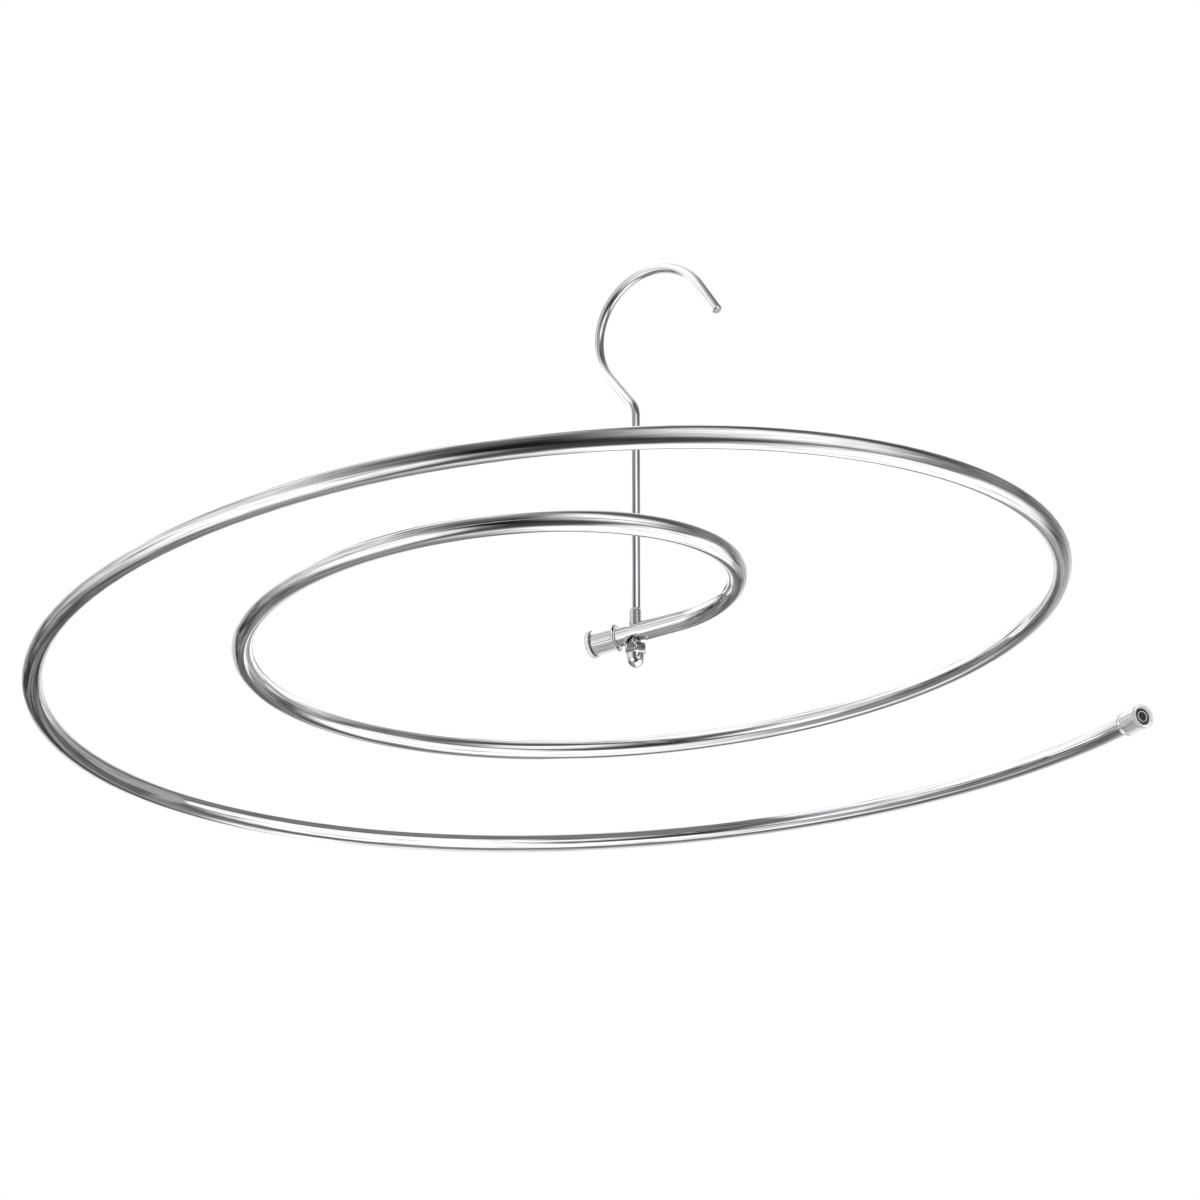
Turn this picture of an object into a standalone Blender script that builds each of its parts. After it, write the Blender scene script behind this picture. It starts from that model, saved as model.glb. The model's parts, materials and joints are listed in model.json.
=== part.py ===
"""Spiral drying rack: a steel tube wound to an open spiral, hung from the rod of a wire hook.

Metres, +Z up. The origin is where the rack hangs, on the underside of the hook's crown. The rod
runs straight down from the hook, through a loose cross hole in the tube near its inner end, into
a domed nut that carries the tube. The tube leans on the nut, so one side of the spiral hangs low.
"""

import bmesh
import bpy
from math import cos, pi, radians, sin, tan
from mathutils import Matrix, Vector

RACK = "spiral_drying_rack"

# Hook and rod: one wire, bent in one plane, threaded at its lower end
WIRE_RADIUS = 0.0026
CROWN_RADIUS = 0.0331
CROWN_SWEEP_DEG = 184.5
TIP_LENGTH = 0.0198
NECK_LENGTH = 0.0194
NECK_TILT_DEG = 38.5
NECK_BEND_RADIUS = 0.012
ROD_RISE = 0.1134
HOOK_TURN_DEG = -34.5
WIRE_END_CHAMFER = 0.0005
THREAD_RADIUS = 0.00295
THREAD_START = 0.012
THREAD_RUNOUT = 0.0012

# Spiral tube, seen from above: a straight leg over the rod, a clockwise bend, a straight tail
TUBE_RADIUS = 0.005
TUBE_WALL = 0.0006
LEG_HEADING_DEG = -30.0
LEG_AHEAD = 0.025
TAIL_LENGTH = 0.016
TURN_TOTAL_DEG = 750.0
TURN_STEP_DEG = 4.5
WIDEST_BEND_RADIUS = 0.319
BEND_SCHEDULE = (
    # turned angle in degrees, share of the widest bend radius
    (0, 0.107),
    (45, 0.229),
    (90, 0.285),
    (150, 0.367),
    (210, 0.473),
    (270, 0.614),
    (330, 0.614),
    (420, 0.661),
    (510, 0.765),
    (600, 1.0),
    (680, 0.978),
    (760, 0.862),
)
LEAN_DEG = 5.5
ROD_HOLE_CLEARANCE = 0.00105

# Domed nut
NUT_ACROSS_FLATS = 0.010
NUT_HEX_HEIGHT = 0.005
NUT_HEIGHT = 0.012
NUT_BEARING_RADIUS = 0.0045
NUT_CHAMFER_DEG = 25.0
NUT_DOME_RADIUS = 0.0042
NUT_DOME_SKIRT = 0.0022
NUT_BORE_DEPTH = 0.008
NUT_DRILL_POINT = 0.0017
NUT_BORE_CLEARANCE = 0.0003

# End cap, the same part on both ends of the tube
CAP_LENGTH = 0.0157
CAP_WALL = 0.0010
CAP_FIT = 0.0003
CAP_INNER_REACH = 0.0253
CAP_FLANGE_RADIUS = 0.0069
CAP_FLANGE_THICKNESS = 0.0019
CAP_LIP_HEIGHT = 0.0004
CAP_LIP_LENGTH = 0.0013
CAP_EDGE = 0.0003
CAP_RECESS_RADIUS = 0.0049
CAP_RECESS_DEPTH = 0.0012
CAP_RING_RADIUS = 0.0032
CAP_RING_WIDTH = 0.0005
CAP_RING_HEIGHT = 0.0006
CAP_END_WALL = 0.0014

SEAT_GAP = 0.0003
OVERRUN = 0.002

LEG = Vector((cos(radians(LEG_HEADING_DEG)), sin(radians(LEG_HEADING_DEG)), 0.0))
LEAN_SLOPE = tan(radians(LEAN_DEG))
ROD_HOLE_RADIUS = THREAD_RADIUS + ROD_HOLE_CLEARANCE
TUBE_BORE_RADIUS = TUBE_RADIUS - TUBE_WALL
LEG_BEHIND = CAP_INNER_REACH - CAP_RECESS_DEPTH - CAP_END_WALL - CAP_FIT
NUT_TOP = -(TUBE_RADIUS / cos(radians(LEAN_DEG)) + NUT_BEARING_RADIUS * LEAN_SLOPE + SEAT_GAP)
ROD_BOTTOM = NUT_TOP - NUT_BORE_DEPTH + SEAT_GAP


def clear_scene():
    for ob in list(bpy.data.objects):
        bpy.data.objects.remove(ob, do_unlink=True)


def collection(name):
    made = bpy.data.collections.new(name)
    bpy.context.scene.collection.children.link(made)
    return made


def plain_finish(name, colour, roughness, metallic):
    mat = bpy.data.materials.new(name)
    mat.use_nodes = True
    shader = mat.node_tree.nodes["Principled BSDF"]
    shader.inputs["Base Color"].default_value = (*colour, 1.0)
    shader.inputs["Roughness"].default_value = roughness
    shader.inputs["Metallic"].default_value = metallic
    mat.diffuse_color = (*colour, 1.0)
    return mat


def new_object(name, data, group, parent=None):
    ob = bpy.data.objects.new(name, data)
    group.objects.link(ob)
    ob.parent = parent
    return ob


def empty(name, location, group):
    ob = new_object(name, None, group)
    ob.location = location
    bpy.context.view_layer.update()
    return ob


def swept(name, stations, radius, bevel_resolution, twist, group, parent):
    """A round bar through stations of (point, share of the radius), as one closed mesh."""
    curve = bpy.data.curves.new(name, "CURVE")
    curve.dimensions = "3D"
    curve.twist_mode = twist
    curve.bevel_depth = radius
    curve.bevel_resolution = bevel_resolution
    curve.use_fill_caps = True
    spline = curve.splines.new("POLY")
    spline.points.add(len(stations) - 1)
    for target, (point, share) in zip(spline.points, stations):
        target.co = (*point, 1.0)
        target.radius = share
    guide = new_object(name + "_curve", curve, group, parent)
    bpy.context.view_layer.update()
    evaluated = guide.evaluated_get(bpy.context.evaluated_depsgraph_get())
    mesh = bpy.data.meshes.new_from_object(evaluated)
    bm = bmesh.new()
    bm.from_mesh(mesh)
    bmesh.ops.remove_doubles(bm, verts=bm.verts, dist=1e-6)
    bmesh.ops.recalc_face_normals(bm, faces=bm.faces)
    bm.to_mesh(mesh)
    bm.free()
    ob = new_object(name, mesh, group, parent)
    ob.matrix_world = guide.matrix_world.copy()
    bpy.data.objects.remove(guide, do_unlink=True)
    return ob


def turned(name, profile, steps, group, parent=None):
    """A profile of (radius, height), top to bottom down its outer side, turned about local Z."""
    mesh = bpy.data.meshes.new(name)
    points = [(r, 0.0, z) for r, z in profile]
    mesh.from_pydata(points, [(i, i + 1) for i in range(len(points) - 1)], [])
    ob = new_object(name, mesh, group, parent)
    screw = ob.modifiers.new("Turn", "SCREW")
    screw.axis = "Z"
    screw.angle = 2 * pi
    screw.steps = steps
    screw.render_steps = steps
    screw.use_merge_vertices = True
    screw.merge_threshold = 1e-6
    return ob


def boolean(target, cutter, operation="DIFFERENCE"):
    cut = target.modifiers.new(operation.title(), "BOOLEAN")
    cut.operation = operation
    cut.solver = "EXACT"
    cut.object = cutter
    cutter.hide_render = True
    cutter.display_type = "WIRE"


def drill(name, radius, low, high, sides, group, parent=None):
    return turned(name, [(0.0, high), (radius, high), (radius, low), (0.0, low)], sides, group, parent)


def finish(ob, material, crease_deg=35.0):
    ob.data.materials.append(material)
    ob.data.shade_smooth()
    ob.data.set_sharp_from_angle(angle=radians(crease_deg))


def arc(centre, radius, start_deg, end_deg, step_deg=6.0):
    steps = max(2, round(abs(end_deg - start_deg) / step_deg))
    angles = [radians(start_deg + (end_deg - start_deg) * k / steps) for k in range(steps + 1)]
    return [centre + radius * Vector((cos(a), sin(a))) for a in angles]


def hook_outline():
    """The wire's centre line from the rod's top to the hook's tip, in the hook's own plane."""
    start = Vector((0.0, ROD_RISE))
    bend = arc(start - Vector((NECK_BEND_RADIUS, 0.0)), NECK_BEND_RADIUS, 0.0, NECK_TILT_DEG)
    up = Vector((-sin(radians(NECK_TILT_DEG)), cos(radians(NECK_TILT_DEG))))
    inward = Vector((up.y, -up.x))
    shoulder = bend[-1] + NECK_LENGTH * up
    centre = shoulder + CROWN_RADIUS * inward
    first = 180.0 + NECK_TILT_DEG
    last = first - CROWN_SWEEP_DEG
    crown = arc(centre, CROWN_RADIUS, first, last)
    down = Vector((sin(radians(last)), -cos(radians(last))))
    return bend + crown, centre, crown[-1] + TIP_LENGTH * down, down


def hang_point():
    """Where the rack hangs, seen from the rod's axis at the height of the tube."""
    _, centre, _, _ = hook_outline()
    turn = radians(HOOK_TURN_DEG)
    height = centre.y + CROWN_RADIUS - WIRE_RADIUS
    return Vector((centre.x * cos(turn), centre.x * sin(turn), height))


def tube_route():
    """The tube's centre line from its inner end to its outer end, bent by the schedule."""
    point = LEG * LEG_AHEAD
    plan = [-LEG_BEHIND * LEG, Vector((0.0, 0.0, 0.0)), point.copy()]
    steps = round(TURN_TOTAL_DEG / TURN_STEP_DEG)
    step = TURN_TOTAL_DEG / steps
    for k in range(steps):
        turned_by = (k + 0.5) * step
        radius = bend_radius(turned_by)
        chord = 2 * radius * sin(radians(step / 2))
        heading = radians(LEG_HEADING_DEG - turned_by)
        point = point + chord * Vector((cos(heading), sin(heading), 0.0))
        plan.append(point.copy())
    heading = radians(LEG_HEADING_DEG - TURN_TOTAL_DEG)
    plan.append(point + TAIL_LENGTH * Vector((cos(heading), sin(heading), 0.0)))
    return [p + Vector((0.0, 0.0, LEAN_SLOPE * p.dot(LEG))) for p in plan]


def bend_radius(turned_by):
    for (low, s_low), (high, s_high) in zip(BEND_SCHEDULE, BEND_SCHEDULE[1:]):
        if turned_by <= high:
            share = s_low + (s_high - s_low) * (turned_by - low) / (high - low)
            return WIDEST_BEND_RADIUS * share
    return WIDEST_BEND_RADIUS * BEND_SCHEDULE[-1][1]


def build_hook_rod(group, hanger, steel):
    outline, _, tip, down = hook_outline()
    turn = Matrix.Rotation(radians(HOOK_TURN_DEG), 3, "Z")
    thread = THREAD_RADIUS / WIRE_RADIUS
    chamfer = WIRE_END_CHAMFER
    stations = [
        ((0, 0, ROD_BOTTOM), thread - chamfer / WIRE_RADIUS),
        ((0, 0, ROD_BOTTOM + chamfer), thread),
        ((0, 0, THREAD_START), thread),
        ((0, 0, THREAD_START + THREAD_RUNOUT), 1.0),
    ]
    stations += [(turn @ Vector((p.x, 0.0, p.y)), 1.0) for p in outline]
    before = tip - chamfer * down
    stations.append((turn @ Vector((before.x, 0.0, before.y)), 1.0))
    stations.append((turn @ Vector((tip.x, 0.0, tip.y)), 1.0 - chamfer / WIRE_RADIUS))
    rod = swept("hook_rod", stations, WIRE_RADIUS, 4, "MINIMUM", group, hanger)
    finish(rod, steel)
    return rod


def build_spiral_tube(group, cutters, pivot, steel):
    route = tube_route()
    tube = swept("spiral_tube", [(p, 1.0) for p in route], TUBE_RADIUS, 4, "Z_UP", group, pivot)
    past_inner = route[0] + OVERRUN * (route[0] - route[1]).normalized()
    past_outer = route[-1] + OVERRUN * (route[-1] - route[-2]).normalized()
    bore_route = [(p, 1.0) for p in [past_inner, *route[1:-1], past_outer]]
    bore = swept("tube_bore", bore_route, TUBE_BORE_RADIUS, 2, "Z_UP", cutters, pivot)
    hole = drill("rod_hole", ROD_HOLE_RADIUS, -TUBE_RADIUS - OVERRUN, TUBE_RADIUS + OVERRUN, 24, cutters, pivot)
    side = Vector((-LEG.y, LEG.x, 0.0))
    hole.rotation_mode = "QUATERNION"
    hole.rotation_quaternion = Matrix.Rotation(-radians(LEAN_DEG), 3, side).to_quaternion()
    boolean(tube, bore)
    boolean(tube, hole)
    finish(tube, steel)
    return tube


def build_nut(group, cutters, hanger, steel):
    """A domed nut, its hexagon cut from a turned blank so that its corners are chamfered."""
    corner = NUT_ACROSS_FLATS / 2 / cos(pi / 6) + OVERRUN / 4
    drop = (corner - NUT_BEARING_RADIUS) * tan(radians(NUT_CHAMFER_DEG))
    skirt = -NUT_HEX_HEIGHT - NUT_DOME_SKIRT
    dome_height = NUT_HEIGHT - NUT_HEX_HEIGHT - NUT_DOME_SKIRT
    profile = [
        (0.0, 0.0),
        (NUT_BEARING_RADIUS, 0.0),
        (corner, -drop),
        (corner, -NUT_HEX_HEIGHT + drop),
        (NUT_DOME_RADIUS, -NUT_HEX_HEIGHT),
        (NUT_DOME_RADIUS, skirt),
    ]
    for k in range(1, 7):
        a = radians(15.0 * k)
        profile.append((NUT_DOME_RADIUS * cos(a), skirt - dome_height * sin(a)))
    profile[-1] = (0.0, -NUT_HEIGHT)
    nut = turned("acorn_nut", profile, 24, group, hanger)
    nut.location = (0.0, 0.0, NUT_TOP)

    bm = bmesh.new()
    bmesh.ops.create_cone(bm, cap_ends=True, segments=6, radius1=NUT_ACROSS_FLATS / 2 / cos(pi / 6),
                          radius2=NUT_ACROSS_FLATS / 2 / cos(pi / 6), depth=2 * NUT_HEIGHT + 2 * OVERRUN)
    mesh = bpy.data.meshes.new("nut_hexagon")
    bm.to_mesh(mesh)
    bm.free()
    hexagon = new_object("nut_hexagon", mesh, cutters, hanger)
    hexagon.location = nut.location
    bore_radius = THREAD_RADIUS + NUT_BORE_CLEARANCE
    bore_profile = [
        (0.0, OVERRUN),
        (bore_radius, OVERRUN),
        (bore_radius, -NUT_BORE_DEPTH),
        (0.0, -NUT_BORE_DEPTH - NUT_DRILL_POINT),
    ]
    bore = turned("nut_bore", bore_profile, 24, cutters, hanger)
    bore.location = nut.location
    boolean(nut, hexagon, "INTERSECT")
    boolean(nut, bore)
    finish(nut, steel)
    return nut


def build_cap(name, tube_end, outward, group, pivot, plastic):
    """A push-on cap: a sleeve over the tube with a lip at its mouth and a flanged, dished end."""
    sleeve_in = TUBE_RADIUS + CAP_FIT
    sleeve_out = sleeve_in + CAP_WALL
    lip = sleeve_out + CAP_LIP_HEIGHT
    top = CAP_LENGTH
    floor = top - CAP_RECESS_DEPTH
    under = floor - CAP_END_WALL
    flange_low = top - CAP_FLANGE_THICKNESS
    profile = [
        (0.0, floor),
        (CAP_RING_RADIUS - CAP_RING_WIDTH, floor),
        (CAP_RING_RADIUS - CAP_RING_WIDTH, floor + CAP_RING_HEIGHT),
        (CAP_RING_RADIUS, floor + CAP_RING_HEIGHT),
        (CAP_RING_RADIUS, floor),
        (CAP_RECESS_RADIUS, floor),
        (CAP_RECESS_RADIUS + CAP_EDGE, top),
        (CAP_FLANGE_RADIUS - CAP_EDGE, top),
        (CAP_FLANGE_RADIUS, top - CAP_EDGE),
        (CAP_FLANGE_RADIUS, flange_low + CAP_EDGE),
        (CAP_FLANGE_RADIUS - CAP_EDGE, flange_low),
        (sleeve_out, flange_low),
        (sleeve_out, CAP_LIP_LENGTH + CAP_LIP_HEIGHT),
        (lip, CAP_LIP_LENGTH),
        (lip, CAP_EDGE),
        (lip - CAP_EDGE, 0.0),
        (sleeve_in, 0.0),
        (sleeve_in, under),
        (0.0, under),
    ]
    cap = turned(name, profile, 24, group, pivot)
    mouth = tube_end - outward * (under - CAP_FIT)
    cap.rotation_mode = "QUATERNION"
    cap.rotation_quaternion = outward.to_track_quat("Z", "Y")
    cap.location = mouth
    finish(cap, plastic)
    return cap


def build():
    clear_scene()
    group = collection(RACK)
    cutters = collection(RACK + "_cutters")
    steel = plain_finish("polished_stainless", (0.63, 0.62, 0.60), 0.12, 1.0)
    nut_steel = plain_finish("nut_stainless", (0.60, 0.59, 0.57), 0.18, 1.0)
    plastic = plain_finish("frosted_plastic", (0.80, 0.82, 0.82), 0.35, 0.0)
    crossing = -hang_point()
    hanger = empty("hanger", crossing, group)
    pivot = empty("spiral_pivot", crossing, group)
    build_hook_rod(group, hanger, steel)
    build_nut(group, cutters, hanger, nut_steel)
    build_spiral_tube(group, cutters, pivot, steel)
    route = tube_route()
    inner = (route[0] - route[1]).normalized()
    outer = (route[-1] - route[-2]).normalized()
    build_cap("inner_end_cap", route[0], inner, group, pivot, plastic)
    build_cap("outer_end_cap", route[-1], outer, group, pivot, plastic)


build()
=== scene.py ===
# %% [markdown]
# # A spiral drying rack
# A bright steel tube is wound to an open, flat spiral and hangs from a wire hook. The tube has a
# loose cross hole near its inner end. The hook's rod runs down through that hole into a domed
# nut, so the spiral swivels on the rod. A clear plastic cap closes each end of the tube.
#
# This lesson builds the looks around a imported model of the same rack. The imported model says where
# the rod crosses the tube, and the main sizes below are its own. Each cell here makes one piece,
# one finish or one part of the studio.

# %% Load the frame
import json
from math import cos, pi, radians, sin, tan

import bmesh
import bpy
from mathutils import Matrix, Vector


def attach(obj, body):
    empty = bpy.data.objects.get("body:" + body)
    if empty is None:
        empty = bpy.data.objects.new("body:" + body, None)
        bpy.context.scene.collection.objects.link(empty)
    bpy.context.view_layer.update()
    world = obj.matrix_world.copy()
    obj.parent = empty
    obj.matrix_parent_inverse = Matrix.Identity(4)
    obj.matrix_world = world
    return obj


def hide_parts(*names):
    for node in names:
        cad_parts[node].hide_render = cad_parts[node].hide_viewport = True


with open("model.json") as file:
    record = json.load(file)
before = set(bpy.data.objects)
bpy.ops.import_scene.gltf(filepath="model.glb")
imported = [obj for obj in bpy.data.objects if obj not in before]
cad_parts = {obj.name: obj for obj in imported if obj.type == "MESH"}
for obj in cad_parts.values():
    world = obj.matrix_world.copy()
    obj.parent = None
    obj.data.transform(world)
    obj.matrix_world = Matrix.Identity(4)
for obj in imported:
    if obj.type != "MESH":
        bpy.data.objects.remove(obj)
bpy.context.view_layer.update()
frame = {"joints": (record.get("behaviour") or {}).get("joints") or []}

MM = 0.001
UP = Vector((0, 0, 1))
swivel = frame["joints"][0]
CROSSING = Vector(swivel["pos_m"])
print("the rod crosses the tube at", [round(v, 4) for v in CROSSING])

# %% [markdown]
# ## Colours and nodes
# Colours are picked as screen colours, so one function turns a hex colour into the linear numbers
# that a shader works with. Material graphs are built with one small helper that adds a node,
# sets its inputs and makes its links, so that each material below reads like a recipe. What
# glows in the studio starts from an empty graph, and no light rays are aimed at it.


# %% Four small helpers
def linear(hex_colour):
    """A screen colour such as 'c8c8c8' as linear red, green, blue and alpha."""
    shares = [int(hex_colour[k:k + 2], 16) / 255 for k in (0, 2, 4)]
    return [s / 12.92 if s <= 0.04045 else ((s + 0.055) / 1.055) ** 2.4 for s in shares] + [1.0]


def add(tree, kind, settings=None, **inputs):
    """A node of that kind: settings are its properties, inputs are values or links by name."""
    node = tree.nodes.new("ShaderNode" + kind)
    for name, value in (settings or {}).items():
        setattr(node, name, value)
    for name, value in inputs.items():
        key = int(name[1:]) if name[0] == "_" else name.replace("_", " ")
        socket = node.inputs[key]
        if isinstance(value, bpy.types.NodeSocket):
            tree.links.new(value, socket)
        else:
            socket.default_value = value
    return node


def new_material(name):
    """A material with its usual Principled shader, and its tree for more nodes."""
    mat = bpy.data.materials.new(name)
    mat.use_nodes = True
    return mat, mat.node_tree


def glowing_material(name):
    mat, tree = new_material(name)
    mat.cycles.emission_sampling = "NONE"
    tree.nodes.clear()
    return mat, tree


print("a middle grey screen colour, 808080, is linear", round(linear("808080")[0], 3))


# %% [markdown]
# ## Polished stainless tube
# The tube is AISI 304 stainless steel, drawn to size and buffed along its length. Stainless steel
# is a nearly neutral grey metal, and a buffed one is nearly a mirror. Three things keep it from
# looking like a computer's mirror: very fine lines that run along the bar, left by drawing and
# buffing, a slow waviness of the wall, left by the bending rolls, and a faint haze, a few
# centimetres in size, left by handling.
#
# The lines must follow the bar round every bend. So each bar carries an attribute with the place
# that each point had before bending, when the bar was still straight: across, across, along.
# Noise that is squeezed across the bar and stretched along it then gives the buffing lines.


# %% Buffed steel
# Noise seldom leaves this range, so a pattern is spread over it
NOISE_LOW, NOISE_HIGH = 0.3, 0.7
# The noise is stretched along the bar, so that a line is about 80 times as long as wide
ALONG_SHARE = 0.012
LINE_DEPTH = 0.02 * MM
# The smoothest and the roughest lines, as shares of the steel's roughness
SMOOTHEST, ROUGHEST = 0.75, 1.3
WAVE_SIZE = 9.0 * MM
WAVE_DEPTH = 0.1 * MM
HAZE_SIZE = 35.0 * MM
HAZE_SHARE = 0.93
# The noise of the deepest lines, and how much of the compound's grey shows in them
DEEP_LOW, DEEP_HIGH = 0.30, 0.48
LINE_GREY = 0.7
COMPOUND = "3c3c3c"


def buffed_steel(name, hex_colour, roughness, line_mm, ripple, line_bump):
    mat, tree = new_material(name)
    shader = tree.nodes["Principled BSDF"]
    shader.inputs["Metallic"].default_value = 1.0
    straight = add(tree, "Attribute", {"attribute_name": "straight_bar"}).outputs["Vector"]
    # Real buffing lines are some 5 micrometres wide; these are drawn wider so that they show
    lines = add(tree, "Mapping", Vector=straight, Scale=(1.0, 1.0, ALONG_SHARE))
    grain = add(tree, "TexNoise", Vector=lines.outputs["Vector"], Scale=1.0 / (line_mm * MM),
                Detail=3.0)
    waves = add(tree, "TexNoise", Vector=straight, Scale=1.0 / WAVE_SIZE, Detail=1.5)
    haze = add(tree, "TexNoise", Vector=straight, Scale=1.0 / HAZE_SIZE, Detail=3.0)
    rough = add(tree, "MapRange", Value=grain.outputs["Fac"], From_Min=NOISE_LOW,
                From_Max=NOISE_HIGH, To_Min=roughness * SMOOTHEST,
                To_Max=roughness * ROUGHEST)
    clean = linear(hex_colour)
    hazy = [c * HAZE_SHARE for c in clean[:3]] + [1.0]
    tint = add(tree, "Mix", {"data_type": "RGBA"}, _0=haze.outputs["Fac"], _6=clean, _7=hazy)
    # A few deeper lines hold a trace of buffing compound and stay greyer
    deep = add(tree, "MapRange", Value=grain.outputs["Fac"], From_Min=DEEP_LOW,
               From_Max=DEEP_HIGH, To_Min=LINE_GREY, To_Max=0.0)
    lined = add(tree, "Mix", {"data_type": "RGBA"}, _0=deep.outputs["Result"], _6=tint.outputs[2],
                _7=linear(COMPOUND))
    fine = add(tree, "Bump", Strength=line_bump, Distance=LINE_DEPTH, Height=grain.outputs["Fac"])
    soft = add(tree, "Bump", Strength=ripple, Distance=WAVE_DEPTH, Height=waves.outputs["Fac"],
               Normal=fine.outputs["Normal"])
    tree.links.new(rough.outputs["Result"], shader.inputs["Roughness"])
    tree.links.new(lined.outputs[2], shader.inputs["Base Color"])
    tree.links.new(soft.outputs["Normal"], shader.inputs["Normal"])
    return mat


tube_steel = buffed_steel("stainless_304_buffed_tube", "d7d6d9", roughness=0.035,
                          line_mm=0.5, ripple=0.2, line_bump=0.3)
wire_steel = buffed_steel("stainless_304_drawn_wire", "d5d4d7", roughness=0.05,
                          line_mm=0.4, ripple=0.15, line_bump=0.2)
print("two finishes:", tube_steel.name, "and", wire_steel.name)

# %% [markdown]
# ## A bar that bends like a real one
# A bench bender makes this rack from straight stock: a straight run, a turn about a centre, then
# another run. The same steps work in Blender. A ring of edges is the end of the bar. Extruding
# it adds a straight run, and spinning it about a bend's centre adds a turn. Doing it in small
# turns lets the bend's radius grow as the spiral opens out.


# %% The bender
class Bar:
    """A round bar under construction: its open end's ring, place, heading and length so far."""

    def __init__(self, bm, radius, sides, place, heading, side):
        self.bm = bm
        self.straight = bm.verts.layers.float_vector.get("straight_bar")
        self.place = Vector(place)
        self.heading = Vector(heading).normalized()
        self.side = Vector(side).normalized()
        self.length = 0.0
        made = bmesh.ops.create_circle(bm, radius=radius, segments=sides)
        for v in made["verts"]:
            v[self.straight] = v.co
        turn = Matrix((self.side, self.heading.cross(self.side), self.heading)).transposed()
        place_ring = Matrix.Translation(self.place) @ turn.to_4x4()
        bmesh.ops.transform(bm, matrix=place_ring, verts=made["verts"])
        self.ring = list({e for v in made["verts"] for e in v.link_edges})
        self.first = list(self.ring)

    def _advance(self, geometry, length):
        """Keeps the new end's ring, and writes how far along the straight bar it is."""
        self.length += length
        self.ring = [g for g in geometry if isinstance(g, bmesh.types.BMEdge)]
        for v in [g for g in geometry if isinstance(g, bmesh.types.BMVert)]:
            across = v[self.straight]
            v[self.straight] = (across[0], across[1], self.length)

    def run(self, length, steps=1):
        for _ in range(steps):
            made = bmesh.ops.extrude_edge_only(self.bm, edges=self.ring)["geom"]
            move = self.heading * (length / steps)
            verts = [g for g in made if isinstance(g, bmesh.types.BMVert)]
            bmesh.ops.translate(self.bm, vec=move, verts=verts)
            self.place += move
            new_end = [e for e in made if is_new_end(e, verts)]
            self._advance([*verts, *new_end], length / steps)

    def turn(self, radius, angle_deg, axis, steps=1):
        """Turns the end about a centre off to the side, by the right-hand rule about axis."""
        step = radians(angle_deg) / steps
        for _ in range(steps):
            inward = Vector(axis).cross(self.heading) * (1 if step > 0 else -1)
            centre = self.place + inward * radius
            made = bmesh.ops.spin(self.bm, geom=self.ring, cent=centre, axis=axis, angle=step,
                                  steps=1, use_merge=False, use_duplicate=False)["geom_last"]
            turned = Matrix.Rotation(step, 3, Vector(axis))
            self.place = centre + turned @ (self.place - centre)
            self.heading = turned @ self.heading
            self._advance(made, radius * abs(step))

    def close(self, ring, chamfer):
        """Closes an end with a flat face, its rim broken by a small chamfer."""
        face = bmesh.ops.edgeloop_fill(self.bm, edges=ring)["faces"][0]
        bmesh.ops.inset_individual(self.bm, faces=[face], thickness=chamfer, depth=chamfer)


def is_new_end(item, verts):
    return isinstance(item, bmesh.types.BMEdge) and all(v in verts for v in item.verts)


def new_bar_mesh():
    bm = bmesh.new()
    bm.verts.layers.float_vector.new("straight_bar")
    return bm


# %% [markdown]
# ## From a bmesh to a piece
# A finished piece is a mesh object that sits at the origin, with its place in its mesh, because
# patterns on object coordinates would slide otherwise. Round pieces are shaded smooth, with
# sharp edges kept where two faces meet at more than about 30 degrees.
#
# Holes are cut with Boolean modifiers, which are applied at once. They leave slivers thinner than
# a hair where cut edges nearly meet, so anything smaller than `SLIVER` is merged afterwards.


# %% Finish a piece
SHARP_DEG = 30.0
SLIVER = 0.003 * MM
# Points this near are one point, and a face this near to a plane lies in it
WELD = 0.001 * MM
CLOSE = 0.01 * MM


def piece(name, bm, material, place=Matrix.Identity(4), turn_out=True):
    if turn_out:
        bmesh.ops.recalc_face_normals(bm, faces=bm.faces)
    mesh = bpy.data.meshes.new(name)
    bm.to_mesh(mesh)
    bm.free()
    mesh.transform(place)
    mesh.materials.append(material)
    mesh.shade_smooth()
    mesh.set_sharp_from_angle(angle=radians(SHARP_DEG))
    ob = bpy.data.objects.new(name, mesh)
    bpy.context.scene.collection.objects.link(ob)
    return ob


def shaped(ob, *cutters, operation="DIFFERENCE"):
    """Cuts the cutters from the piece, or keeps what they share, and removes the cutters."""
    for cutter in cutters:
        cut = ob.modifiers.new("Cut", "BOOLEAN")
        cut.operation = operation
        cut.solver = "EXACT"
        cut.object = cutter
    bpy.context.view_layer.update()
    evaluated = ob.evaluated_get(bpy.context.evaluated_depsgraph_get())
    mesh = bpy.data.meshes.new_from_object(evaluated)
    ob.modifiers.clear()
    bm = bmesh.new()
    bm.from_mesh(mesh)
    bmesh.ops.remove_doubles(bm, verts=bm.verts, dist=SLIVER)
    bmesh.ops.dissolve_degenerate(bm, dist=SLIVER, edges=bm.edges)
    bm.to_mesh(mesh)
    bm.free()
    old = ob.data
    ob.data = mesh
    bpy.data.meshes.remove(old)
    mesh.name = ob.name
    for cutter in cutters:
        bpy.data.objects.remove(cutter, do_unlink=True)


def report(ob):
    triangles = sum(len(p.vertices) - 2 for p in ob.data.polygons)
    size = [round(v / MM, 1) for v in ob.dimensions]
    print(ob.name, "is", size, "mm, with", triangles, "triangles")


# %% [markdown]
# ## The spiral tube
# Seen from above, the tube starts with a straight leg, which the rod passes through. It then turns
# clockwise through a little over two turns, and its bend radius grows from 34 mm to about 320 mm.
# The last stretch is straight again, because a bender needs something to hold. The schedule
# below is what a workshop would write on the drawing: turned angle and bend radius.
#
# The whole spiral leans on the loose rod, by 5.5 degrees along its straight leg, so the side with
# the inner end hangs low. Building it flat and then leaning it keeps both steps simple.

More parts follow.
